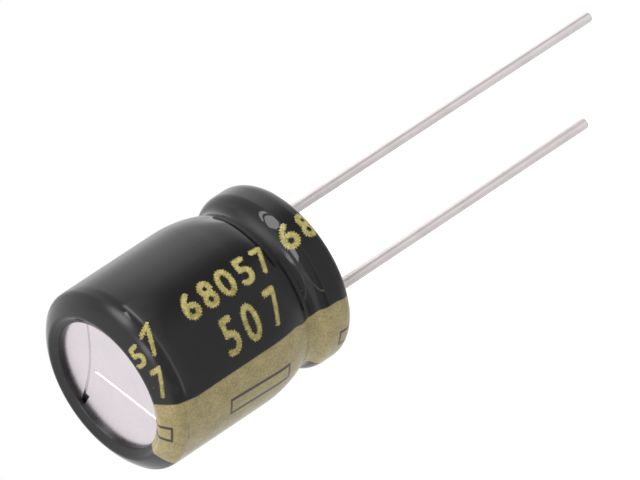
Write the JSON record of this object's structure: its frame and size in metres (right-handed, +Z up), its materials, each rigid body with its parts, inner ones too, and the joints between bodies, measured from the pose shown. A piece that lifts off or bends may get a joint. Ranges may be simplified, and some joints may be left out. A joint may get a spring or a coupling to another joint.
{
  "type": "electrolytic capacitor",
  "caption": "Small radial electrolytic capacitor: glossy black sleeved aluminium can with a gold negative band, vented head and tinned wire leads.",
  "frame": {"origin": "midway between the two leads, in the plane of the circuit board that the sleeve's foot rests on", "axes": "+Z up the can to the vented head, -Z down the leads, +X towards the longer (anode) lead, -X towards the cathode lead and the negative band"},
  "size_m": [0.0102, 0.0102, 0.0361],
  "materials": {
    "sleeve": "glossy black shrink sleeve with a gold-olive printed band",
    "can": "bare satin aluminium with fine grain and a scored vent",
    "stopper": "matt black moulded rubber",
    "lead": "satin tin plate on wire",
    "terminal": "plain drawn aluminium",
    "anode_foil": "etched matt grey foil",
    "cathode_foil": "plain satin foil",
    "paper": "soaked separator paper",
    "tape": "amber film tape"
  },
  "bodies": {
    "root": {"sleeve": "sleeve", "can": "can", "rubber_stopper": "stopper", "anode_lead": "lead", "cathode_lead": "lead", "anode_terminal": "terminal", "cathode_terminal": "terminal", "anode_foil": "anode_foil", "cathode_foil": "cathode_foil", "inner_paper": "paper", "outer_paper": "paper", "closing_tape": "tape"}
  },
  "joints": []
}
